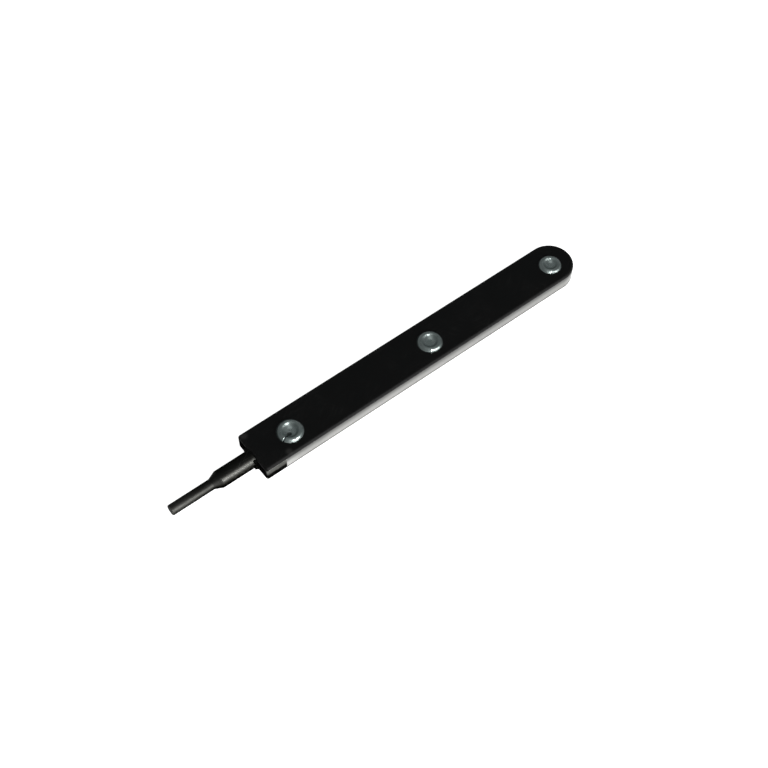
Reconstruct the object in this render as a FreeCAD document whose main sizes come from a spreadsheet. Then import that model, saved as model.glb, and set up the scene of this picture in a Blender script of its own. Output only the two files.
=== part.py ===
import FreeCAD, Part
import Sketcher
import os

# A bench spudger with a stepped steel shank in a flat riveted handle, in millimetres.
# Frame: +X runs from the tip to the rounded butt, +Y across the handle, +Z from the
# underside to the side where the rivets are clinched. The origin is at the middle of
# the outer box, on the underside.
DIMS = {
    # handle
    "handle_length": 105.0,    # front face to rounded butt
    "handle_width": 12.7,      # half-inch bar
    "core_thick": 3.4,         # steel bar between the scales
    "scale_thick": 0.8,        # each black scale
    "edge_round": 0.7,         # rounding of a scale's outer edge
    "corner_round": 0.6,       # rounding of the two front corners
    "edge_break": 0.12,        # sharp edges taken off the bar and the cheeks
    "bolster_length": 6.0,     # black cheeks in front of the bar
    # shank, forward of the handle's front face
    "shank_reach": 9.9,        # straight part
    "neck_length": 2.2,        # cone from shank to tip
    "tip_length": 11.9,        # straight tip
    "shank_radius": 2.38,      # 3/16 inch rod
    "tip_radius": 1.45,
    "tip_chamfer": 0.2,
    "neck_round": 0.5,         # softening of both ends of the cone
    # tang, behind the front face
    "tang_width": 6.35,        # quarter-inch stock, milled to the core's thickness
    "tang_length": 16.2,
    "root_round": 0.79,        # fillet from the shank out to the tang's width
    # rivets
    "rivet_radius": 1.6,       # body, 1/8 inch
    "rivet_side": -0.6,        # the row sits this far off the middle of the handle
    "front_rivet_at": 11.2,    # from the handle's front face
    "middle_rivet_at": 55.9,
    "rear_rivet_at": 98.0,
    "front_roll": 3.6,         # outer radius of each rolled end
    "middle_roll": 3.5,
    "rear_roll": 3.2,
    "roll_width": 2.0,         # rolled ring, from its dish to its outer edge
    "roll_drop": 0.6,          # centre of the ring's curve, below the scale's face
    "dish_rise": 0.25,         # lip of the dish, above the scale's face
    "dish_depth": 0.25,        # floor of the dish, below the scale's face
    "punch_radius": 0.4,       # flat left by the setting punch in the dish
    "head_radius": 2.8,        # countersunk factory head
    "head_depth": 0.7,
}

doc = FreeCAD.newDocument("spudger")
sheet = doc.addObject("Spreadsheet::Sheet", "dims")
for row, (alias, number) in enumerate(DIMS.items(), start=1):
    sheet.set(f"A{row}", alias)
    sheet.set(f"B{row}", str(number))
    sheet.setAlias(f"B{row}", alias)
doc.recompute()


def span(**factors):
    """A length as (number, expression): the sum of sheet cells times factors."""
    number = sum(DIMS[alias] * factor for alias, factor in factors.items())
    terms = [f"dims.{alias} * {factor}" for alias, factor in factors.items()]
    return number, " + ".join(terms) or "0"


ZERO = span()
TOP_FACE = {"core_thick": 1, "scale_thick": 2}      # height of the upper scale's face


def new_body(name, x=None, y=None):
    """A body whose own origin is on the underside, at the handle's front face."""
    body = doc.addObject("PartDesign::Body", name)
    body.Label = name
    centre = span(shank_reach=0.5, neck_length=0.5, tip_length=0.5, handle_length=-0.5)
    along = centre[1] if x is None else f"{centre[1]} + {x[1]}"
    body.setExpression("Placement.Base.x", along)
    if y is not None:
        body.setExpression("Placement.Base.y", y[1])
    return body


def new_sketch(body, name, plane, x=ZERO, y=ZERO, z=ZERO):
    """A sketch on one of the body's origin planes, moved by x, y, z in its own axes."""
    sketch = body.newObject("Sketcher::SketchObject", name)
    origin = next(item for item in body.Origin.OriginFeatures if item.Role == plane)
    sketch.AttachmentSupport = [(origin, "")]
    sketch.MapMode = "FlatFace"
    for axis, offset in zip("xyz", (x, y, z)):
        sketch.setExpression(f"AttachmentOffset.Base.{axis}", offset[1])
    return sketch


def fix(sketch, kind, geometry, vertex, length):
    """Hold a point's distance from the sketch origin at an expression."""
    index = sketch.addConstraint(Sketcher.Constraint(kind, -1, 1, geometry, vertex, length[0]))
    sketch.setExpression(f"Constraints[{index}]", length[1])


def arc_through(start, end, centre_axis, centre_value, turn):
    """The arc from start to end about a centre with one known coordinate."""
    middle = (start + end) * 0.5
    normal = FreeCAD.Vector(start.y - end.y, end.x - start.x, 0)
    if centre_axis == "x":
        centre = middle + normal * ((centre_value - middle.x) / normal.x)
    else:
        centre = middle + normal * ((centre_value - middle.y) / normal.y)
    circle = Part.Circle(centre, FreeCAD.Vector(0, 0, 1), (start - centre).Length)
    first, last = (start, end) if turn == "left" else (end, start)
    return Part.ArcOfCircle(circle, circle.parameter(first), circle.parameter(last))


def draw_outline(sketch, corners, arcs=None):
    """A closed outline through corners; arcs maps a side to (axis, centre, turn)."""
    arcs = arcs or {}
    points = [FreeCAD.Vector(x[0], y[0], 0) for x, y in corners]
    ends = []
    for side, (x, y) in enumerate(corners):
        start, end = points[side], points[(side + 1) % len(points)]
        if side in arcs:
            axis, centre, turn = arcs[side]
            curve = arc_through(start, end, axis, centre[0], turn)
            first, last = (1, 2) if turn == "left" else (2, 1)
        else:
            curve = Part.LineSegment(start, end)
            first, last = 1, 2
        item = sketch.addGeometry(curve, False)
        ends.append((item, first, last))
    for side, (item, first, last) in enumerate(ends):
        following, next_first, _ = ends[(side + 1) % len(ends)]
        sketch.addConstraint(Sketcher.Constraint("Coincident", item, last, following, next_first))
        fix(sketch, "DistanceX", item, first, corners[side][0])
        fix(sketch, "DistanceY", item, first, corners[side][1])
        if side in arcs:
            axis, centre, _ = arcs[side]
            fix(sketch, f"Distance{axis.upper()}", item, 3, centre)


def draw_circle(sketch, x, y, radius):
    """A full circle whose centre and radius follow the sheet."""
    centre = FreeCAD.Vector(x[0], y[0], 0)
    circle = Part.Circle(centre, FreeCAD.Vector(0, 0, 1), radius[0])
    item = sketch.addGeometry(circle, False)
    fix(sketch, "DistanceX", item, 3, x)
    fix(sketch, "DistanceY", item, 3, y)
    index = sketch.addConstraint(Sketcher.Constraint("Radius", item, radius[0]))
    sketch.setExpression(f"Constraints[{index}]", radius[1])


def pad(body, name, sketch, length):
    feature = body.newObject("PartDesign::Pad", name)
    feature.Profile = sketch
    feature.setExpression("Length", length[1])
    doc.recompute()
    return feature


def round_edges(body, name, base, radius, chosen):
    """Fillet the edges of the base feature that the chosen test picks."""
    edges = [f"Edge{i}" for i, edge in enumerate(base.Shape.Edges, start=1) if chosen(edge)]
    feature = body.newObject("PartDesign::Fillet", name)
    feature.Base = (base, edges)
    feature.setExpression("Radius", radius[1])
    doc.recompute()
    return feature


def upright_at(x, y):
    """A test for the vertical edges that stand at x, y or its mirror across the handle."""
    def chosen(edge):
        box = edge.BoundBox
        upright = box.ZLength > 0.1 and box.XLength < 0.01 and box.YLength < 0.01
        return upright and abs(box.XMin - x) < 0.01 and abs(abs(box.YMin) - y) < 0.01
    return chosen


def on_outline(edge):
    """True for a level edge round the outside of the handle, but not at the cheeks' joint."""
    box = edge.BoundBox
    level = box.ZLength < 0.01
    outside = max(abs(box.YMin), abs(box.YMax)) > DIMS["handle_width"] / 2 - 0.01
    at_joint = box.XLength < 0.01 and abs(box.XMin - DIMS["bolster_length"]) < 0.01
    return level and outside and not at_joint


def rivet_holes(sketch, names):
    for name in names:
        draw_circle(sketch, span(**{f"{name}_rivet_at": 1}), span(rivet_side=1),
                    span(rivet_radius=1))


def make_shank():
    """A rod turned to a shank, cone and tip, with a flat tang for the front rivet."""
    body = new_body("shank")
    turned = new_sketch(body, "turned_profile", "XZ_Plane", y=span(core_thick=0.5, scale_thick=1))
    tip_end = {"shank_reach": -1, "neck_length": -1, "tip_length": -1}
    draw_outline(turned, [
        (span(**tip_end), ZERO),
        (ZERO, ZERO),
        (ZERO, span(shank_radius=1)),
        (span(shank_reach=-1), span(shank_radius=1)),
        (span(shank_reach=-1, neck_length=-1), span(tip_radius=1)),
        (span(**tip_end, tip_chamfer=1), span(tip_radius=1)),
        (span(**tip_end), span(tip_radius=1, tip_chamfer=-1)),
    ])
    rod = body.newObject("PartDesign::Revolution", "turned_rod")
    rod.Profile = turned
    rod.ReferenceAxis = (turned, ["H_Axis"])
    rod.Angle = 360
    doc.recompute()

    flats = new_sketch(body, "tang_outline", "XY_Plane", z=span(scale_thick=1))
    half = {"tang_width": 0.5}
    draw_outline(flats, [
        (span(root_round=-1), span(tang_width=-0.5, root_round=1)),
        (ZERO, span(tang_width=-0.5)),
        (span(tang_length=1, tang_width=-0.5), span(tang_width=-0.5)),
        (span(tang_length=1, tang_width=-0.5), span(**half)),
        (ZERO, span(**half)),
        (span(root_round=-1), span(**half, root_round=-1)),
    ], arcs={
        0: ("x", span(root_round=-1), "right"),
        2: ("x", span(tang_length=1, tang_width=-0.5), "left"),
        4: ("x", span(root_round=-1), "right"),
    })
    rivet_holes(flats, ["front"])
    tang = pad(body, "tang", flats, span(core_thick=1))

    cone_ends = (-DIMS["shank_reach"], -DIMS["shank_reach"] - DIMS["neck_length"])
    round_edges(body, "neck_softening", tang, span(neck_round=1), lambda edge: (
        edge.BoundBox.XLength < 0.01
        and min(abs(edge.BoundBox.XMin - x) for x in cone_ends) < 0.01))
    return body


def make_bolster(name, side):
    """One black cheek beside the tang; side is -1 or 1 across the handle."""
    body = new_body(name)
    outline = new_sketch(body, f"{name}_outline", "XY_Plane", z=span(scale_thick=1))
    inner, outer = span(tang_width=0.5 * side), span(handle_width=0.5 * side)
    corners = [(ZERO, inner), (span(bolster_length=1), inner),
               (span(bolster_length=1), outer), (ZERO, outer)]
    draw_outline(outline, corners if side > 0 else corners[::-1])
    block = pad(body, f"{name}_block", outline, span(core_thick=1))
    cornered = round_edges(body, f"{name}_corner", block, span(corner_round=1),
                           upright_at(0, DIMS["handle_width"] / 2))
    round_edges(body, f"{name}_edges", cornered, span(edge_break=1), on_outline)
    return body


def make_core():
    """The bright bar: round at the butt, slotted in front for the tang."""
    body = new_body("handle_core")
    outline = new_sketch(body, "bar_outline", "XY_Plane", z=span(scale_thick=1))
    front, butt = span(bolster_length=1), span(handle_length=1, handle_width=-0.5)
    slot_end = span(tang_length=1, tang_width=-0.5)
    draw_outline(outline, [
        (front, span(handle_width=-0.5)),
        (butt, span(handle_width=-0.5)),
        (butt, span(handle_width=0.5)),
        (front, span(handle_width=0.5)),
        (front, span(tang_width=0.5)),
        (slot_end, span(tang_width=0.5)),
        (slot_end, span(tang_width=-0.5)),
        (front, span(tang_width=-0.5)),
    ], arcs={1: ("x", butt, "left"), 5: ("x", slot_end, "right")})
    rivet_holes(outline, ["middle", "rear"])
    bar = pad(body, "bar", outline, span(core_thick=1))
    round_edges(body, "bar_edges", bar, span(edge_break=1), on_outline)
    return body


def make_scale(name, foot, outer_face):
    """A thin black scale, rounded along its outer edge; foot is its lower face."""
    body = new_body(name)
    outline = new_sketch(body, f"{name}_outline", "XY_Plane", z=foot)
    butt = span(handle_length=1, handle_width=-0.5)
    draw_outline(outline, [
        (ZERO, span(handle_width=-0.5)),
        (butt, span(handle_width=-0.5)),
        (butt, span(handle_width=0.5)),
        (ZERO, span(handle_width=0.5)),
    ], arcs={1: ("x", butt, "left")})
    rivet_holes(outline, ["front", "middle", "rear"])
    sheet_stock = pad(body, f"{name}_sheet", outline, span(scale_thick=1))
    cornered = round_edges(body, f"{name}_corners", sheet_stock, span(corner_round=1),
                           upright_at(0, DIMS["handle_width"] / 2))

    def on_rim(edge):
        box = edge.BoundBox
        level = box.ZLength < 0.01 and abs(box.ZMin - outer_face) < 0.01
        rim = max(abs(box.YMin), abs(box.YMax)) > DIMS["handle_width"] / 2 - 1
        return level and rim
    return body, round_edges(body, f"{name}_edge", cornered, span(edge_round=1), on_rim)


def make_top_scale():
    face = span(**TOP_FACE)[0]
    return make_scale("top_scale", span(core_thick=1, scale_thick=1), face)[0]


def make_bottom_scale():
    """The lower scale, countersunk for the rivets' factory heads."""
    body, rounded = make_scale("bottom_scale", ZERO, 0)
    for name in ("front", "middle", "rear"):
        cone = new_sketch(body, f"{name}_countersink", "XZ_Plane",
                          x=span(**{f"{name}_rivet_at": 1}), z=span(rivet_side=-1))
        draw_outline(cone, [
            (ZERO, ZERO),
            (span(head_radius=1), ZERO),
            (span(rivet_radius=1), span(head_depth=1)),
            (ZERO, span(head_depth=1)),
        ])
        before = body.Tip.Shape.Volume
        groove = body.newObject("PartDesign::Groove", f"{name}_sink")
        groove.Profile = cone
        groove.ReferenceAxis = (cone, ["V_Axis"])
        groove.Angle = 360
        doc.recompute()
        if groove.Shape.Volume > before - 1:
            raise RuntimeError(f"{name} countersink cut nothing")
    return body


def make_rivet(name):
    """A semi-tubular rivet: flush head below, rolled ring with a dished middle on top."""
    roll = f"{name}_roll"
    body = new_body(f"{name}_rivet", x=span(**{f"{name}_rivet_at": 1}), y=span(rivet_side=1))
    profile = new_sketch(body, f"{name}_rivet_profile", "XZ_Plane")
    draw_outline(profile, [
        (ZERO, ZERO),
        (span(head_radius=1), ZERO),
        (span(rivet_radius=1), span(head_depth=1)),
        (span(rivet_radius=1), span(**TOP_FACE)),
        (span(**{roll: 1}), span(**TOP_FACE)),
        (span(**{roll: 1}, roll_width=-1), span(**TOP_FACE, dish_rise=1)),
        (span(punch_radius=1), span(**TOP_FACE, dish_depth=-1)),
        (ZERO, span(**TOP_FACE, dish_depth=-1)),
    ], arcs={
        4: ("y", span(**TOP_FACE, roll_drop=-1), "left"),
        5: ("x", ZERO, "right"),
    })
    turned = body.newObject("PartDesign::Revolution", f"{name}_rivet_body")
    turned.Profile = profile
    turned.ReferenceAxis = (profile, ["V_Axis"])
    turned.Angle = 360
    doc.recompute()
    return body


bodies = [make_shank(), make_bolster("left_bolster", 1), make_bolster("right_bolster", -1),
          make_core(), make_top_scale(), make_bottom_scale()]
bodies += [make_rivet(name) for name in ("front", "middle", "rear")]
doc.recompute()

for item in doc.Objects:
    if "Invalid" in item.State or "Error" in item.State:
        raise RuntimeError(f"{item.Name} is {item.State}")
for body in bodies:
    if body.Shape.isNull() or not body.Shape.isValid() or len(body.Shape.Solids) != 1:
        raise RuntimeError(f"{body.Label} has no good solid")

os.makedirs("parts", exist_ok=True)
for body in bodies:
    body.Shape.exportStep(f"parts/{body.Label}.step")
    box = body.Shape.optimalBoundingBox(False)
    print(f"{body.Label}: volume {body.Shape.Volume:.1f}, x {box.XMin:.2f}..{box.XMax:.2f}, "
          f"y {box.YMin:.2f}..{box.YMax:.2f}, z {box.ZMin:.2f}..{box.ZMax:.2f}")
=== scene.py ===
# %% [markdown]
# # A riveted bench spudger
#
# The tool is a slim sandwich: a bright steel bar between two thin black scales, held by
# three rivets, with a blackened, stepped steel rod fixed in its front end. The drawing
# office has settled every size, so this lesson adds only what a camera sees: finishes,
# wear, and rivets that look as if somebody set them with a hammer.
#
# Everything is in metres, in the drawing's own frame: +X runs from the tip to the rounded
# butt, +Y across the handle and +Z up, with the underside at zero.

# %% Load the frame
import math

import bmesh
import bpy
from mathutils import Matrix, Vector, noise


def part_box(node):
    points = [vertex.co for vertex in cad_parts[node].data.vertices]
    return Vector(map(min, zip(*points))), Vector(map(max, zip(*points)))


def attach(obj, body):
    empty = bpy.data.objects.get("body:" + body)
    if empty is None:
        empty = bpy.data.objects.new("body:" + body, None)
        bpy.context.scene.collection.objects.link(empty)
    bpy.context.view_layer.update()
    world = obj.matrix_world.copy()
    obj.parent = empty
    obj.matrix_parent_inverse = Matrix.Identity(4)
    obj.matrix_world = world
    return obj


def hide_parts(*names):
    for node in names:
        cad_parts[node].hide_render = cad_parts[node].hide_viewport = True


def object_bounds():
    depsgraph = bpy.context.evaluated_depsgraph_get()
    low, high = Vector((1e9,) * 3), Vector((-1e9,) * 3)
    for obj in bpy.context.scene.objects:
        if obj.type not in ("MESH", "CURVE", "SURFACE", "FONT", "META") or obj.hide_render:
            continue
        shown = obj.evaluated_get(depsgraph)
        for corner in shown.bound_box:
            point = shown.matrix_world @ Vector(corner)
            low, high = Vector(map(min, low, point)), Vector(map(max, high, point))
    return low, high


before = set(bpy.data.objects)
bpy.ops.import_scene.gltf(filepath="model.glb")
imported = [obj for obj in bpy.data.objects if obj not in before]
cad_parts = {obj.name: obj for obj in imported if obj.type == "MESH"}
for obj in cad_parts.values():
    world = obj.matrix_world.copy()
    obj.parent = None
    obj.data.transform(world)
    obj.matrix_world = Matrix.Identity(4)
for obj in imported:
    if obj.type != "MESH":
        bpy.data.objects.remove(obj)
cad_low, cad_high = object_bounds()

MM = 0.001
print("nodes:", sorted(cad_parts))
print("box in mm:", [round(v / MM, 2) for v in (*cad_low, *cad_high)])

# %% [markdown]
# ## The camera
#
# A flat tool shows best from well above, lying slantwise. A camera can be placed by hand,
# or from how far round it stands, how high, how far off, and where it looks. The second
# way is easier to reason about, and a short distance gives the slight narrowing towards
# the butt.

# %% Camera
CAMERA_AZIMUTH = math.radians(-37.74)
CAMERA_ELEVATION = math.radians(56.27)
CAMERA_DISTANCE = 323.0 * MM
CAMERA_LENS = 58.76                                # on a 36 mm wide sensor
AIM = Vector((-1.17, -2.50, 2.5)) * MM


def direction(azimuth, elevation):
    """The unit vector from the tool towards a place seen at that azimuth and elevation."""
    level = math.cos(elevation)
    return Vector((math.sin(azimuth) * level, -math.cos(azimuth) * level, math.sin(elevation)))


camera_data = bpy.data.cameras.new("bench_camera")
camera_data.lens = CAMERA_LENS
camera_data.clip_start, camera_data.clip_end = 0.01, 20.0
camera = bpy.data.objects.new("bench_camera", camera_data)
bpy.context.scene.collection.objects.link(camera)
camera.location = AIM + direction(CAMERA_AZIMUTH, CAMERA_ELEVATION) * CAMERA_DISTANCE
camera.rotation_euler = (AIM - camera.location).to_track_quat("-Z", "Y").to_euler()
bpy.context.scene.camera = camera
print("camera at mm:", [round(v / MM, 1) for v in camera.location])

# %% [markdown]
# ## Floor and light
#
# Glossy black and bright steel show their surroundings more than themselves, so the
# surroundings are the lighting. Small bright goods are often shown on a light table, a
# pale sheet lit from below as well as above, which swallows shadows. The bright bar
# mirrors that sheet. A small lamp near the camera sets the glints on the rivets, a long
# low one draws the streak along the rod, and overhead it stays dim, which is what keeps
# the black face black.

# %% Light table
TABLE_WIDTH = 6.0
TABLE_GLOW = 0.95
TABLE_COLOUR = (0.86, 0.86, 0.855, 1.0)
GLOW_COLOUR = (1.0, 1.0, 0.99, 1.0)


def principled(material):
    return material.node_tree.nodes["Principled BSDF"]


def new_material(name):
    material = bpy.data.materials.new(name)
    material.use_nodes = True
    return material


table_sheet = new_material("pale_light_table")
for label, value in (("Base Color", TABLE_COLOUR), ("Roughness", 0.9),
                     ("Specular IOR Level", 0.1), ("Emission Color", GLOW_COLOUR),
                     ("Emission Strength", TABLE_GLOW)):
    principled(table_sheet).inputs[label].default_value = value

sheet = bmesh.new()
bmesh.ops.create_grid(sheet, x_segments=1, y_segments=1, size=TABLE_WIDTH / 2)
bmesh.ops.translate(sheet, verts=sheet.verts, vec=(0, 0, cad_low.z))
floor_mesh = bpy.data.meshes.new("floor")
sheet.to_mesh(floor_mesh)
sheet.free()
floor_mesh.materials.append(table_sheet)
floor = bpy.data.objects.new("floor", floor_mesh)
bpy.context.scene.collection.objects.link(floor)
print("light table:", TABLE_WIDTH, "m wide, at height mm", round(cad_low.z / MM, 2))

# %% [markdown]
# Three lamps are enough. Each is a rectangle that faces the tool, given by the way it
# stands, its distance, its size and its power in watts. A small near lamp makes a tight
# glint and a wide low one a soft streak.

# %% Lamps
def lamp(name, azimuth, elevation, distance, size, power):
    """A rectangular lamp at that place, facing the tool."""
    data = bpy.data.lights.new(name, "AREA")
    data.shape = "RECTANGLE"
    data.size, data.size_y = size
    data.energy = power
    thing = bpy.data.objects.new(name, data)
    bpy.context.scene.collection.objects.link(thing)
    thing.location = direction(math.radians(azimuth), math.radians(elevation)) * distance
    thing.rotation_euler = (-thing.location).to_track_quat("-Z", "Y").to_euler()


lamp("near_lamp", -13, 34, 0.26, (0.03, 0.03), 0.42)
lamp("low_strip", 18, 17, 0.75, (0.26, 0.12), 3.5)
lamp("overhead_soft", -38, 80, 1.0, (0.7, 0.7), 0.55)

bpy.context.scene.view_settings.view_transform = "Standard"

# %% [markdown]
# ## Small tools for node trees
#
# A material is a graph, and writing one in code is mostly adding nodes and joining
# sockets. Five helpers keep that short: put adds a node and fills its inputs, connect
# gives a socket a number or a link, calc does arithmetic, ramp eases from one level to
# another, and tint blends two colours.

# %% Node helpers
def put(tree, kind, settings=None, **inputs):
    """Add a node; each input is given a number or linked to a socket."""
    node = tree.nodes.new(kind)
    for name, value in (settings or {}).items():
        setattr(node, name, value)
    for name, value in inputs.items():
        connect(tree, value, node.inputs[name.replace("_", " ")])
    return node


def connect(tree, value, socket):
    if isinstance(value, bpy.types.NodeSocket):
        tree.links.new(value, socket)
    else:
        socket.default_value = value


def calc(tree, operation, *values, clamp=False):
    """One arithmetic node; returns its result."""
    node = tree.nodes.new("ShaderNodeMath")
    node.operation = operation
    node.use_clamp = clamp
    for value, socket in zip(values, node.inputs):
        connect(tree, value, socket)
    return node.outputs[0]


def ramp(tree, value, low, high, to_low=0.0, to_high=1.0):
    """Ease from to_low to to_high while value goes from low to high."""
    node = tree.nodes.new("ShaderNodeMapRange")
    node.interpolation_type = "SMOOTHSTEP"
    for amount, socket in zip((value, low, high, to_low, to_high), node.inputs):
        connect(tree, amount, socket)
    return node.outputs[0]


def tint(tree, share, first, second):
    """Blend two colours by a share."""
    node = tree.nodes.new("ShaderNodeMix")
    node.data_type = "RGBA"
    colours = [socket for socket in node.inputs if socket.type == "RGBA"]
    connect(tree, share, node.inputs[0])
    connect(tree, first, colours[0])
    connect(tree, second, colours[1])
    return next(socket for socket in node.outputs if socket.type == "RGBA")


# %% [markdown]
# ## The room
#
# The helpers are first tried on the room round the table. One even grey would do, but a
# real room is dim overhead and paler towards the horizon, where its walls are, and that
# gives edges that face sideways a soft fringe while the top of the tool stays black.

# %% The room
ROOM_OVERHEAD = 0.20
ROOM_HORIZON = 0.55
ROOM_COLOUR = (0.93, 0.98, 1.0, 1.0)
WALLS_END = 0.30                     # the height, on a unit sphere, where the walls fade

world = bpy.data.worlds.new("dim_room")
world.use_nodes = True
room = world.node_tree
upward = put(room, "ShaderNodeSeparateXYZ",
             Vector=put(room, "ShaderNodeTexCoord").outputs["Generated"]).outputs[2]
background = room.nodes["Background"]
background.inputs["Color"].default_value = ROOM_COLOUR
connect(room, ramp(room, upward, 0.02, WALLS_END, ROOM_HORIZON, ROOM_OVERHEAD),
        background.inputs["Strength"])
bpy.context.scene.world = world
print("room:", ROOM_OVERHEAD, "overhead,", ROOM_HORIZON, "at the horizon")

# %% [markdown]
# Wear that several materials share goes into node groups. Each effect is then built once,
# and what differs from one material to the next stays open as a named input. Two more
# helpers make an empty group and place one in a material.

# %% Group helpers
def new_group(name, inputs, outputs):
    """An empty shader group with float inputs (name: default) and float outputs."""
    tree = bpy.data.node_groups.new(name, "ShaderNodeTree")
    for label, default in inputs.items():
        kind = "NodeSocketVector" if default is None else "NodeSocketFloat"
        socket = tree.interface.new_socket(label, in_out="INPUT", socket_type=kind)
        if default is not None:
            socket.default_value = default
    for label in outputs:
        tree.interface.new_socket(label, in_out="OUTPUT", socket_type="NodeSocketFloat")
    return tree, tree.nodes.new("NodeGroupInput"), tree.nodes.new("NodeGroupOutput")


def use_group(tree, group, **inputs):
    return put(tree, "ShaderNodeGroup", {"node_tree": group}, **inputs)


# %% [markdown]
# ## Shared wear, as node groups
#
# Real finishes differ, but they age in the same few ways. The first is hairline
# scratches. They could be drawn as an image, but noise stretched sixty to one gives
# endless fine lines at any zoom. Three directions are laid over each other, and a slow
# noise keeps them to patches.

# %% Hairlines
STRETCH = 60                         # how many times longer than wide a scratch is
DIRECTIONS = ((0.12, 0.0), (1.1, 3.7), (-0.6, 8.2))     # turn in radians, and a shift


def hairlines_group():
    tree, given, result = new_group(
        "hairlines", {"Place": None, "Scale": 900.0, "Rarity": 0.62}, ["Mask"])
    lines = []
    for turn, shift in DIRECTIONS:
        turned = put(tree, "ShaderNodeMapping", Vector=given.outputs["Place"],
                     Rotation=(0.0, 0.0, turn), Location=(shift, shift, 0.0))
        stretched = put(tree, "ShaderNodeMapping", Vector=turned.outputs[0],
                        Scale=(1 / STRETCH, 1.0, 0.2))
        streak = put(tree, "ShaderNodeTexNoise", Vector=stretched.outputs[0],
                     Scale=given.outputs["Scale"], Detail=1.0)
        patch = put(tree, "ShaderNodeTexNoise", Vector=turned.outputs[0], Scale=110.0,
                    Detail=1.0)
        low = calc(tree, "ADD", given.outputs["Rarity"], 0.06)
        line = ramp(tree, streak.outputs[0], low, calc(tree, "ADD", low, 0.05))
        kept = ramp(tree, patch.outputs[0], 0.48, 0.66)
        lines.append(calc(tree, "MULTIPLY", line, kept))
    both = calc(tree, "MAXIMUM", lines[0], lines[1])
    connect(tree, calc(tree, "MAXIMUM", both, lines[2]), result.inputs["Mask"])
    return tree


hairlines = hairlines_group()
print("hairlines:", len(hairlines.nodes), "nodes")

# %% [markdown]
# The second is dust and small chips: cells of a Voronoi pattern, each with a dot of
# random size, and most cells left empty.

# %% Specks
def specks_group():
    tree, given, result = new_group(
        "specks", {"Place": None, "Scale": 1500.0, "Share": 0.12}, ["Mask"])
    cells = put(tree, "ShaderNodeTexVoronoi", Vector=given.outputs["Place"],
                Scale=given.outputs["Scale"])
    dice = put(tree, "ShaderNodeSeparateColor", Color=cells.outputs["Color"])
    size = calc(tree, "MULTIPLY", dice.outputs[1], 0.28)
    dot = calc(tree, "SUBTRACT", 1.0,
               ramp(tree, cells.outputs["Distance"], calc(tree, "MULTIPLY", size, 0.5), size))
    chosen = calc(tree, "LESS_THAN", dice.outputs[0], given.outputs["Share"])
    connect(tree, calc(tree, "MULTIPLY", dot, chosen), result.inputs["Mask"])
    return tree


specks = specks_group()
print("specks:", len(specks.nodes), "nodes")

# %% [markdown]
# The third is smudging: skin oil and handling make gloss uneven in soft patches. Two
# sizes of noise, one inside the other, are enough.

# %% Smudges
def smudges_group():
    tree, given, result = new_group(
        "smudges", {"Place": None, "Scale": 60.0, "Contrast": 1.0}, ["Amount"])
    broad = put(tree, "ShaderNodeTexNoise", Vector=given.outputs["Place"],
                Scale=given.outputs["Scale"], Detail=3.0, Distortion=0.6)
    fine_scale = calc(tree, "MULTIPLY", given.outputs["Scale"], 9.0)
    fine = put(tree, "ShaderNodeTexNoise", Vector=given.outputs["Place"], Scale=fine_scale,
               Detail=4.0)
    mixed = calc(tree, "ADD", calc(tree, "MULTIPLY", broad.outputs[0], 0.65),
                 calc(tree, "MULTIPLY", fine.outputs[0], 0.35))
    centred = calc(tree, "MULTIPLY", calc(tree, "SUBTRACT", mixed, 0.5),
                   given.outputs["Contrast"])
    connect(tree, calc(tree, "ADD", centred, 0.5, clamp=True), result.inputs["Amount"])
    return tree


smudges = smudges_group()
print("smudges:", len(smudges.nodes), "nodes")

# %% [markdown]
# The fourth says how far a point lies inside the handle's outline, because hands rub the
# rim first. On a straight stretch that is the half width less the distance from the
# middle. Round the butt the distance is measured from the butt's centre, and clamping the
# lengthwise part at zero lets one formula serve both.

# %% Distance to the rim
handle_low, handle_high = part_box("top_scale")
HALF_WIDTH = handle_high.y
BUTT_CENTRE = handle_high.x - HALF_WIDTH
FACE = handle_high.z
print("butt centre mm:", round(BUTT_CENTRE / MM, 2), "face at mm:", round(FACE / MM, 2))


def rim_group():
    tree, given, result = new_group("rim_depth", {"Place": None}, ["Depth"])
    axes = put(tree, "ShaderNodeSeparateXYZ", Vector=given.outputs["Place"])
    past = calc(tree, "MAXIMUM", calc(tree, "SUBTRACT", axes.outputs[0], BUTT_CENTRE), 0.0)
    squares = calc(tree, "ADD", calc(tree, "POWER", past, 2.0),
                   calc(tree, "MULTIPLY", axes.outputs[1], axes.outputs[1]))
    reach = calc(tree, "SQRT", squares)
    connect(tree, calc(tree, "SUBTRACT", HALF_WIDTH, reach), result.inputs["Depth"])
    return tree


rim_depth = rim_group()
print("rim_depth:", len(rim_depth.nodes), "nodes")

# %% [markdown]
# The fifth is machining lines. Ground and turned metal carries fine parallel marks, which
# are noise that varies quickly across the marks and hardly at all along them.

# %% Machining lines
def machining_group():
    tree, given, result = new_group(
        "machining_lines", {"Place": None, "Scale": 4000.0}, ["Height"])
    coarse = put(tree, "ShaderNodeTexNoise", Vector=given.outputs["Place"],
                 Scale=given.outputs["Scale"], Detail=2.0)
    fine = put(tree, "ShaderNodeTexNoise", Vector=given.outputs["Place"],
               Scale=calc(tree, "MULTIPLY", given.outputs["Scale"], 3.1), Detail=1.0)
    total = calc(tree, "ADD", calc(tree, "MULTIPLY", coarse.outputs[0], 0.7),
                 calc(tree, "MULTIPLY", fine.outputs[0], 0.3))
    connect(tree, total, result.inputs["Height"])
    return tree


machining_lines = machining_group()
print("machining_lines:", len(machining_lines.nodes), "nodes")

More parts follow.
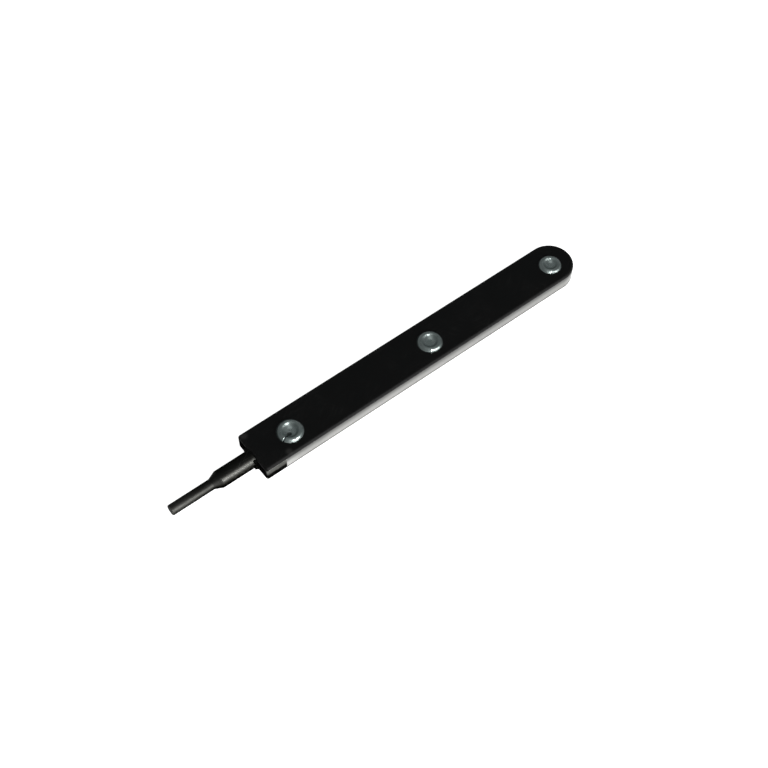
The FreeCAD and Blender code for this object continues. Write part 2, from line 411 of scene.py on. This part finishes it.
# %% [markdown]
# ## Black scales
#
# The scales are thin black laminate with a low sheen. The colour is nearly black, so all
# the interest is in the gloss: smudges dull it, hairlines cross it, dust lies on it, the
# rim is rubbed grey and the front edge is left matte from the saw. A faint pebbled bump
# breaks up reflections as pressed sheet does.
#
# Two scuffs near the front each have one known place, so they are soft round patches
# with a middle and a radius. Noise would put such marks anywhere.

# %% Scuffs
SCUFF_STRENGTH = 0.55
SCUFFS = (((handle_low.x + 1.2 * MM, 5.2 * MM), 1.5 * MM),     # the far front corner
          ((handle_low.x + 7.6 * MM, -5.3 * MM), 1.3 * MM))    # beside the end of a cheek


def soft_patch(tree, place, middle, radius):
    """A round patch on the face, fading to nothing at its radius."""
    moved = put(tree, "ShaderNodeVectorMath", {"operation": "SUBTRACT"})
    connect(tree, place, moved.inputs[0])
    connect(tree, (*middle, FACE), moved.inputs[1])
    reach = put(tree, "ShaderNodeVectorMath", {"operation": "LENGTH"})
    connect(tree, moved.outputs[0], reach.inputs[0])
    return ramp(tree, reach.outputs["Value"], radius, 0.2 * radius, 0.0, SCUFF_STRENGTH)


print("scuffs at mm:", [[round(v / MM, 1) for v in middle] for middle, radius in SCUFFS])

# %% [markdown]
# The material then joins the masks in the order in which things happened to the sheet:
# the rim is rubbed first, dust settles, and scratches and scuffs cut through both.

# %% Scale material
LAMINATE = (0.0021, 0.0021, 0.0020, 1)
RUBBED_LAMINATE = (0.006, 0.006, 0.0055, 1)
DUST = (0.05, 0.049, 0.046, 1)
SCUFFED = (0.030, 0.029, 0.028, 1)
RUBBED_RIM = 0.9 * MM
SAWN_EDGE = 0.8 * MM


def scale_material():
    material = new_material("black_laminate")
    tree, shader = material.node_tree, principled(material)
    place = put(tree, "ShaderNodeTexCoord").outputs["Object"]
    scratch = use_group(tree, hairlines, Place=place, Scale=11000.0, Rarity=0.56).outputs[0]
    dust = use_group(tree, specks, Place=place, Scale=2600.0, Share=0.04).outputs[0]
    smudge = use_group(tree, smudges, Place=place, Scale=70.0, Contrast=1.6).outputs[0]
    depth = use_group(tree, rim_depth, Place=place).outputs[0]
    rubbed = ramp(tree, depth, RUBBED_RIM, 0.0)
    worn = calc(tree, "MULTIPLY", rubbed, ramp(tree, smudge, 0.35, 0.65, 0.2, 1.0))

    greyed = tint(tree, calc(tree, "MULTIPLY", worn, 0.5), LAMINATE, RUBBED_LAMINATE)
    dusty = tint(tree, calc(tree, "MULTIPLY", dust, 0.35), greyed, DUST)
    scuffs = calc(tree, "MAXIMUM", *(soft_patch(tree, place, *patch) for patch in SCUFFS))
    broken = calc(tree, "MULTIPLY", scuffs, ramp(tree, smudge, 0.3, 0.6, 0.4, 1.0))
    marked = calc(tree, "MAXIMUM", calc(tree, "MULTIPLY", scratch, 0.22), broken)
    connect(tree, tint(tree, marked, dusty, SCUFFED), shader.inputs["Base Color"])

    gloss = ramp(tree, smudge, 0.2, 0.8, 0.42, 0.48)
    front = ramp(tree, put(tree, "ShaderNodeSeparateXYZ", Vector=place).outputs[0],
                 handle_low.x + SAWN_EDGE, handle_low.x + 0.25 * SAWN_EDGE)
    edges = calc(tree, "ADD", calc(tree, "MULTIPLY", rubbed, 0.16),
                 calc(tree, "MULTIPLY", front, 0.4))
    duller = calc(tree, "ADD", gloss,
                  calc(tree, "ADD", edges, calc(tree, "MULTIPLY", scratch, 0.12)))
    connect(tree, calc(tree, "ADD", duller, calc(tree, "MULTIPLY", dust, 0.3)),
            shader.inputs["Roughness"])
    shader.inputs["Specular IOR Level"].default_value = 0.15

    pebble = put(tree, "ShaderNodeTexNoise", Vector=place, Scale=2600.0, Detail=2.0)
    relief = calc(tree, "SUBTRACT", calc(tree, "MULTIPLY", pebble.outputs[0], 0.35), scratch)
    bump = put(tree, "ShaderNodeBump", Height=relief, Strength=0.15, Distance=0.01 * MM)
    connect(tree, bump.outputs[0], shader.inputs["Normal"])
    return material


black_laminate = scale_material()
print("black_laminate:", len(black_laminate.node_tree.nodes), "nodes")
for node in ("top_scale", "bottom_scale"):
    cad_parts[node].material_slots[0].material = black_laminate

# %% [markdown]
# ## Bright bar
#
# The bar shows only its edge, ground lengthwise after the scales went on. The marks run
# along X, so the pattern is squeezed in that direction. Towards its top the edge is painted
# darker, a painted shade that thins out downwards. The front end, dressed last when the
# cheeks were fitted, is the brightest part, and from there the edge dulls slowly to the butt.

# %% Bar material
bar_low, bar_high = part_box("handle_core")
CHEEK_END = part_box("right_bolster")[1].x
DRESSED_LENGTH = 7 * MM
GROUND_HOLLOWS = (0.27, 0.27, 0.26, 1)
GROUND_CRESTS = (0.34, 0.34, 0.33, 1)
DRESSED = (0.40, 0.40, 0.39, 1)
TARNISH = (0.21, 0.21, 0.20, 1)
BUTT_GREY = (0.14, 0.14, 0.135, 1)
TOP_SHADE_GREY = (0.05, 0.05, 0.05, 1)
PIT_BROWN = (0.08, 0.077, 0.07, 1)


def bar_material():
    material = new_material("ground_bar")
    tree, shader = material.node_tree, principled(material)
    place = put(tree, "ShaderNodeTexCoord").outputs["Object"]
    axes = put(tree, "ShaderNodeSeparateXYZ", Vector=place)
    along = put(tree, "ShaderNodeMapping", Vector=place, Scale=(0.015, 0.4, 1.0)).outputs[0]
    lines = use_group(tree, machining_lines, Place=along, Scale=5200.0).outputs[0]
    tarnish = use_group(tree, smudges, Place=place, Scale=90.0, Contrast=1.8).outputs[0]
    pits = use_group(tree, specks, Place=place, Scale=1700.0, Share=0.07).outputs[0]

    ground = tint(tree, ramp(tree, lines, 0.35, 0.65), GROUND_HOLLOWS, GROUND_CRESTS)
    near_cheek = ramp(tree, axes.outputs[0], CHEEK_END + DRESSED_LENGTH, CHEEK_END)
    dressed = tint(tree, near_cheek, ground, DRESSED)
    near_butt = ramp(tree, axes.outputs[0], CHEEK_END, bar_high.x, 0.0, 0.25)
    greyed = tint(tree, near_butt, dressed, BUTT_GREY)
    dulled = tint(tree, ramp(tree, tarnish, 0.45, 0.8, 0.0, 0.35), greyed, TARNISH)
    # Painted shade: the edge is darker towards its top and lighter downwards.
    top_shade_share = ramp(tree, axes.outputs[2], bar_low.z + 1.1 * MM, bar_high.z + 0.1 * MM)
    top_shaded = tint(tree, calc(tree, "MULTIPLY", top_shade_share, 0.9), dulled, TOP_SHADE_GREY)
    pitted = tint(tree, calc(tree, "MULTIPLY", pits, 0.6), top_shaded, PIT_BROWN)
    connect(tree, pitted, shader.inputs["Base Color"])
    shader.inputs["Metallic"].default_value = 1.0
    connect(tree, ramp(tree, lines, 0.3, 0.7, 0.30, 0.44), shader.inputs["Roughness"])
    bump = put(tree, "ShaderNodeBump", Height=lines, Strength=0.25, Distance=0.01 * MM)
    connect(tree, bump.outputs[0], shader.inputs["Normal"])
    return material


ground_bar = bar_material()
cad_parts["handle_core"].material_slots[0].material = ground_bar
print("ground_bar:", len(ground_bar.node_tree.nodes), "nodes")

# %% [markdown]
# ## Blackened steel
#
# The rod and the two cheeks beside it are black oxide over steel, a little warm in tone.
# Where a surface faces sideways or down it is painted darkest, as painted shade. Along the
# rod's upper flanks and on the cheeks' outer sides it is painted back to grey, a painted
# sheen where the lamps' streaks fall, and at the tip it is worn grey and has lost its gloss
# too. Such masks could be painted by hand, but which way a surface faces, and how far it
# lies from the tip, already give them. Turning leaves rings round the rod, so its lines
# vary along X.

# %% Black oxide
# The deepest oxide tone is painted shade, for faces turned sideways or down.
SHADE_OXIDE = (0.004, 0.004, 0.0035, 1)
DARK_OXIDE = (0.013, 0.013, 0.0115, 1)
LIGHT_OXIDE = (0.022, 0.022, 0.0195, 1)
GREY_STEEL = (0.20, 0.20, 0.19, 1)
EDGE_SHINE = 0.06      # reflectance near a glancing angle, where clean steel is a mirror


def oxide_material(name, line_stretch, sheen_and_wear_mask, matte_before=-1.0):
    """Black oxide; the mask gives the share painted grey, as painted sheen or wear,
    matte_before where gloss ends.
    """
    material = new_material(name)
    tree, shader = material.node_tree, principled(material)
    place = put(tree, "ShaderNodeTexCoord").outputs["Object"]
    axes = put(tree, "ShaderNodeSeparateXYZ", Vector=place)
    facing = put(tree, "ShaderNodeSeparateXYZ",
                 Vector=put(tree, "ShaderNodeNewGeometry").outputs["Normal"])
    ringed = put(tree, "ShaderNodeMapping", Vector=place, Scale=line_stretch).outputs[0]
    lines = use_group(tree, machining_lines, Place=ringed, Scale=6500.0).outputs[0]
    cloud = use_group(tree, smudges, Place=place, Scale=150.0, Contrast=1.6).outputs[0]
    scratch = use_group(tree, hairlines, Place=place, Scale=12000.0, Rarity=0.56).outputs[0]
    grain = use_group(tree, smudges, Place=place, Scale=900.0, Contrast=2.0).outputs[0]

    # Painted sheen where the mask picks a face, and real wear at the rod's tip.
    sheen_and_wear = calc(tree, "MULTIPLY", sheen_and_wear_mask(tree, axes, facing),
                ramp(tree, grain, 0.25, 0.75, 0.7, 1.0))
    rubbed = calc(tree, "MAXIMUM", sheen_and_wear, calc(tree, "MULTIPLY", scratch, 0.2))
    handled = tint(tree, cloud, DARK_OXIDE, LIGHT_OXIDE)
    # Faces turned sideways or down are painted darker: painted shade.
    low_facing_shade = ramp(tree, facing.outputs[2], 0.4, 0.05)
    oxide = tint(tree, low_facing_shade, handled, SHADE_OXIDE)
    connect(tree, tint(tree, rubbed, oxide, GREY_STEEL), shader.inputs["Base Color"])
    shader.inputs["Metallic"].default_value = 1.0
    shader.inputs["Specular Tint"].default_value = (EDGE_SHINE, EDGE_SHINE, EDGE_SHINE, 1.0)
    matte = ramp(tree, axes.outputs[0], matte_before + MM, matte_before - MM, 0.0, 0.18)
    gloss = calc(tree, "ADD", ramp(tree, cloud, 0.3, 0.7, 0.31, 0.39), matte)
    connect(tree, calc(tree, "ADD", gloss, calc(tree, "MULTIPLY", lines, 0.06)),
            shader.inputs["Roughness"])
    bump = put(tree, "ShaderNodeBump", Height=lines, Strength=0.2, Distance=0.008 * MM)
    connect(tree, bump.outputs[0], shader.inputs["Normal"])
    return material


# %% [markdown]
# Each use of the oxide brings its own mask. The rod's follows its flanks, whose normals
# lean neither straight up nor sideways, and its distance from the tip. The cheeks' picks
# their outer sides above the bench line.

# %% Rod and cheeks
TIP_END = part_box("shank")[0].x
TIP_LENGTH = 13.5 * MM
FLANK_SLOPE = 0.63     # which way the painted sheen's flanks face: 0 is sideways, 1 is up
# Cheeks: painted shade below the first height, painted sheen full by the second.
SHADED_FOOT_TOP = 1.8 * MM
FULL_SHEEN_HEIGHT = 3.1 * MM


def sheen_flanks_and_worn_end(tree, axes, facing):
    """A painted sheen along both upper flanks, where the lamps' streak falls, and real wear,
    most of all at the tip, which does the prying.
    """
    off_flank = calc(tree, "ABSOLUTE",
                     calc(tree, "SUBTRACT", facing.outputs[2], FLANK_SLOPE))
    flank = ramp(tree, off_flank, 0.34, 0.05, 0.0, 0.22)
    from_end = calc(tree, "SUBTRACT", axes.outputs[0], TIP_END)
    faded = ramp(tree, from_end, TIP_LENGTH, 0.0, 0.0, 0.16)
    end_face = ramp(tree, from_end, 0.35 * MM, 0.05 * MM, 0.0, 0.5)
    return calc(tree, "MAXIMUM", calc(tree, "ADD", flank, faded), end_face)


def sheen_above_shaded_foot(tree, axes, facing):
    """A painted sheen on a cheek's outer side above the bench line; its foot keeps the painted
    shade.
    """
    sideways = calc(tree, "ABSOLUTE", facing.outputs[1])
    return calc(tree, "MULTIPLY", ramp(tree, sideways, 0.3, 0.9),
                ramp(tree, axes.outputs[2], SHADED_FOOT_TOP, FULL_SHEEN_HEIGHT, 0.0, 0.85))


turned_oxide = oxide_material("turned_oxide", (1.0, 0.03, 0.03), sheen_flanks_and_worn_end,
                              TIP_END + TIP_LENGTH)
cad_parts["shank"].material_slots[0].material = turned_oxide
cheek_oxide = oxide_material("cheek_oxide", (0.03, 0.4, 1.0), sheen_above_shaded_foot)
for node in ("left_bolster", "right_bolster"):
    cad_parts[node].material_slots[0].material = cheek_oxide
print("tip from mm:", round(TIP_END / MM, 1), "to", round((TIP_END + TIP_LENGTH) / MM, 1))

# %% [markdown]
# ## Rivets
#
# Each rivet is a steel tube set from above: its wall is rolled outwards into a ring, with
# a dished hollow inside, and its flat head lies flush underneath. The drawing has plain
# turned shapes. Here the outline is drawn again with more care and spun, and then pushed
# about a little, because no two hand-set rivets are alike.

# %% Outline of a set rivet
RIVET_BODY = 1.6 * MM
HEAD_RADIUS = 2.8 * MM
HEAD_DEPTH = 0.7 * MM
RING_INSIDE = 0.57 * MM              # the rolled ring, from its crest inwards
RING_OUTSIDE = 0.80 * MM             # and outwards
LIP_ANGLE = 126                      # where the ring turns into the dish, in degrees
RING_AT = 0.69                       # its crest, as a share of the outer radius
SKIRT = 0.07 * MM                    # thickness of the flared foot outside the ring
HOLLOW_DROP = 0.25 * MM              # floor of the dish, below the scale's face
DISH_POWER = 2.6                     # how flat the dish's floor is and how steep its side
TURNS = 160


def arc(centre, radii, start, end, count):
    """Points (r, z) along an ellipse from one angle to another, in degrees."""
    points = []
    for step in range(count + 1):
        angle = math.radians(start + (end - start) * step / count)
        points.append((centre[0] + radii[0] * math.cos(angle),
                       centre[1] + radii[1] * math.sin(angle)))
    return points


def set_rivet_outline(outer, crest):
    """From the middle of the dish over the ring, down the body and under the head."""
    ring_middle = outer * RING_AT
    rise = crest - FACE
    inner_roll = arc((ring_middle, FACE), (RING_INSIDE, rise), LIP_ANGLE, 90, 10)
    outer_roll = arc((ring_middle, FACE), (RING_OUTSIDE, rise), 90, 22, 16)
    lip, lip_height = inner_roll[0]
    floor_height = FACE - HOLLOW_DROP
    depth = lip_height - floor_height
    dish = [(lip * share, floor_height + depth * share ** DISH_POWER)
            for share in (step / 18 for step in range(19))]
    return dish + inner_roll[1:] + outer_roll[1:] + [
        (outer - 0.16 * MM, FACE + SKIRT), (outer - 0.05 * MM, FACE + SKIRT * 0.8),
        (outer, FACE + SKIRT * 0.3), (outer, FACE),
        (RIVET_BODY, FACE), (RIVET_BODY, HEAD_DEPTH),
        (HEAD_RADIUS, 0.03 * MM), (HEAD_RADIUS - 0.05 * MM, 0.0), (0.0, 0.0)]


# %% [markdown]
# The outline is spun about Z. A bare turned shape looks cast, so two noises that follow
# the ring round, one slow and one quicker, take a little off its width and height. Both
# are weighted to take away, so that each rivet stays inside the size it was drawn at.

# %% Spin and disturb
SLOW, QUICK = 1.3, 5.0               # how fast the two noises change round the ring
WIDTH_LOSS = (0.022, 0.006)          # what each takes off the width, as a share
HEIGHT_LOSS = (0.06, 0.03)           # and off the ring's height


def spun(outline):
    """A closed turned shape about Z."""
    shape = bmesh.new()
    row = [shape.verts.new((r, 0.0, z)) for r, z in outline]
    edges = [shape.edges.new(pair) for pair in zip(row, row[1:])]
    bmesh.ops.spin(shape, geom=row + edges, cent=(0, 0, 0), axis=(0, 0, 1),
                   angle=math.tau, steps=TURNS, use_merge=True)
    bmesh.ops.remove_doubles(shape, verts=shape.verts, dist=1e-7)
    bmesh.ops.recalc_face_normals(shape, faces=shape.faces)
    return shape


def falloff(distance, width):
    """One at the middle, easing to nothing at the given width."""
    share = min(distance / width, 1.0)
    return (1.0 - share * share) ** 2


def upper_verts(shape):
    """The dish, the ring and its foot, but not the body and the head underneath."""
    return [vert for vert in shape.verts if vert.co.z > FACE - HOLLOW_DROP - 0.01 * MM]


def hammer(shape, seed, outer):
    """Uneven rolling: a slow and a quick wobble of the ring's width and height."""
    for vert in upper_verts(shape):
        flat = Vector((vert.co.x, vert.co.y, 0))
        turn = flat.normalized()
        slow = 0.5 + noise.noise(turn * SLOW + Vector((seed, 0, 0)))
        quick = 0.5 + noise.noise(turn * QUICK + Vector((seed, 7, 0)))
        narrower = (WIDTH_LOSS[0] * slow + WIDTH_LOSS[1] * quick) * (flat.length / outer) ** 2
        vert.co.x *= 1.0 - narrower
        vert.co.y *= 1.0 - narrower
        above = max(vert.co.z - FACE, 0.0)
        vert.co.z -= above * (HEIGHT_LOSS[0] * slow + HEIGHT_LOSS[1] * quick)


# %% [markdown]
# The steel itself is plated, a cool grey with a trace of green. It is mottled where the
# plating is thin, and grime with painted shade, which the mesh carries as an attribute,
# darkens its hollows.

# %% Rivet material
THIN_PLATE = (0.34, 0.40, 0.385, 1)
FULL_PLATE = (0.50, 0.56, 0.545, 1)
GRIME_AND_SHADE = (0.02, 0.026, 0.025, 1)


def rivet_material():
    material = new_material("plated_rivet")
    tree, shader = material.node_tree, principled(material)
    place = put(tree, "ShaderNodeTexCoord").outputs["Object"]
    mottle = use_group(tree, smudges, Place=place, Scale=420.0, Contrast=2.0).outputs[0]
    scratch = use_group(tree, hairlines, Place=place, Scale=14000.0, Rarity=0.55).outputs[0]
    grime_and_shade = put(tree, "ShaderNodeAttribute", {"attribute_name": "grime_and_shade"}).outputs["Fac"]

    plate = tint(tree, mottle, THIN_PLATE, FULL_PLATE)
    # Grime with painted shade darkens the plate.
    soiled_and_shaded = tint(tree, calc(tree, "MULTIPLY", grime_and_shade, 0.95), plate, GRIME_AND_SHADE)
    connect(tree, soiled_and_shaded, shader.inputs["Base Color"])
    shader.inputs["Metallic"].default_value = 1.0
    gloss = calc(tree, "ADD", ramp(tree, mottle, 0.3, 0.7, 0.23, 0.30),
                 calc(tree, "MULTIPLY", grime_and_shade, 0.36))
    connect(tree, gloss, shader.inputs["Roughness"])
    relief = calc(tree, "SUBTRACT", calc(tree, "MULTIPLY", mottle, 0.6), scratch)
    bump = put(tree, "ShaderNodeBump", Height=relief, Strength=0.25, Distance=0.01 * MM)
    connect(tree, bump.outputs[0], shader.inputs["Normal"])
    return material


rivet_steel = rivet_material()
print("plated_rivet:", len(rivet_steel.node_tree.nodes), "nodes")

# %% [markdown]
# Dirt and painted shade follow the rivet's own shape, so their share is worked out point
# by point and kept on the mesh as an attribute. It darkens the dish and the foot of the
# ring, as dirt with painted shade, and films the ring itself, except on one side, where a
# clean patch makes a painted glint.

# %% Dirt on a rivet
DISH_DIRT_AND_SHADE_AT = 0.54                  # all five are shares of the rivet's outer radius
RING_FROM = 0.62
FOOT_FROM = 0.76
# Where the clean patch of the painted glint lies, and how wide it is.
GLINT_AT = 0.78
GLINT_WIDTH = 0.42


def dirt_and_shade_share(point, outer, glint_way):
    """Dirt and painted shade in the dish, round the ring's foot and, thinly, on the ring
    outside the painted glint.
    """
    flat = Vector((point.x, point.y, 0))
    radius = flat.length
    towards = flat.dot(glint_way) / outer
    # The dish is darkened, most on the glint side: dirt with painted shade.
    in_dish = falloff(abs(radius - DISH_DIRT_AND_SHADE_AT * outer), 0.2 * outer)
    # The ring's foot is darkened, most away from the glint side: dirt with painted shade.
    foot = (FOOT_FROM + 0.12 * towards) * outer
    at_foot = 1.0 - falloff(max(radius - foot, 0.0), 0.22 * outer)
    on_ring = 1.0 - falloff(max(radius - RING_FROM * outer, 0.0), 0.15 * outer)
    from_glint = (flat - glint_way * GLINT_AT * outer).length
    # Outside the clean patch the ring is filmed darker, so the patch shows as a painted glint.
    dulled = on_ring * (1.0 - falloff(from_glint, GLINT_WIDTH * outer))
    return max(0.45 * in_dish * (1.0 + towards), at_foot, 0.34 * dulled)


# %% [markdown]
# Each rivet stands in for the plain one in the drawing. It is turned at the origin, where
# its outline is easy to write, and its mesh is then moved to the drawing's place, so the
# object itself stays unmoved.

# %% Place a rivet
def place_rivet(name, seed, glint_side, damage=None, dirt_and_shade=None):
    """Replace one plain rivet; the angle, in degrees, gives the side whose clean patch makes
    its painted glint.
    """
    glint_way = direction(math.radians(glint_side + 90), 0.0)
    low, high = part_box(name)
    middle = (low + high) / 2
    outer = (high.x - low.x) / 2
    shape = spun(set_rivet_outline(outer, high.z))
    hammer(shape, seed, outer)
    if damage:
        damage(shape)
    print(name, "volume mm3", round(shape.calc_volume(signed=True) / MM ** 3, 1),
          "open edges", sum(not edge.is_manifold for edge in shape.edges))
    mesh = bpy.data.meshes.new(f"set_{name}")
    # Each point's share of dirt and painted shade, kept as an attribute.
    grime_and_shade = [max(dirt_and_shade_share(vert.co, outer, glint_way), dirt_and_shade(vert.co) if dirt_and_shade else 0.0)
             for vert in shape.verts]
    bmesh.ops.translate(shape, verts=shape.verts, vec=(middle.x, middle.y, 0))
    shape.to_mesh(mesh)
    shape.free()
    mesh.shade_smooth()
    layer = mesh.attributes.new("grime_and_shade", "FLOAT", "POINT")
    layer.data.foreach_set("value", grime_and_shade)
    piece = bpy.data.objects.new(f"set_{name}", mesh)
    bpy.context.scene.collection.objects.link(piece)
    piece.data.materials.append(rivet_steel)
    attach(piece, "root")
    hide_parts(name)
    print(name, "at mm", round(middle.x / MM, 1), round(middle.y / MM, 1),
          "outer", round(outer / MM, 2), "faces", len(mesh.polygons))


# %% [markdown]
# The front rivet was set off centre: the punch left a pit beside the middle of the dish,
# and the ring has split from the pit to its edge. Both are pushed into the spun shape, with
# a soft edge for the pit and a narrow one for the split. The other two came out whole, and
# differ only in their wobble and in the side of their painted glint.

# %% Set the three rivets
PIT = Vector((-0.55, -0.5, 0)) * MM
PIT_WIDTH = 1.0 * MM
PIT_DEPTH = 0.20 * MM
SPLIT_END = Vector((-3.2, -1.5, 0)) * MM
SPLIT_WIDTH = 0.30 * MM
SPLIT_DEPTH = 0.26 * MM


def damage_at(point):
    """Shares of the pit and of the split at a place on the rivet's top."""
    flat = Vector((point.x, point.y, 0)) - PIT
    way = (SPLIT_END - PIT).normalized()
    along = flat.dot(way)
    aside = (flat - way * along).length
    return falloff(flat.length, PIT_WIDTH), falloff(aside, SPLIT_WIDTH) if along > 0 else 0.0


def split_and_pit(shape):
    for vert in upper_verts(shape):
        pit, split = damage_at(vert.co)
        vert.co.z -= max(PIT_DEPTH * pit, SPLIT_DEPTH * split)


# The pit and the split are painted dark: dirt with painted shade in the recesses.
def dirt_and_shade_in_split(point):
    pit, split = damage_at(point)
    return max(min(1.5 * pit, 0.95), 0.9 * split)


place_rivet("front_rivet", 1.0, -92, split_and_pit, dirt_and_shade_in_split)
place_rivet("middle_rivet", 4.0, -114)
place_rivet("rear_rivet", 9.0, -130)
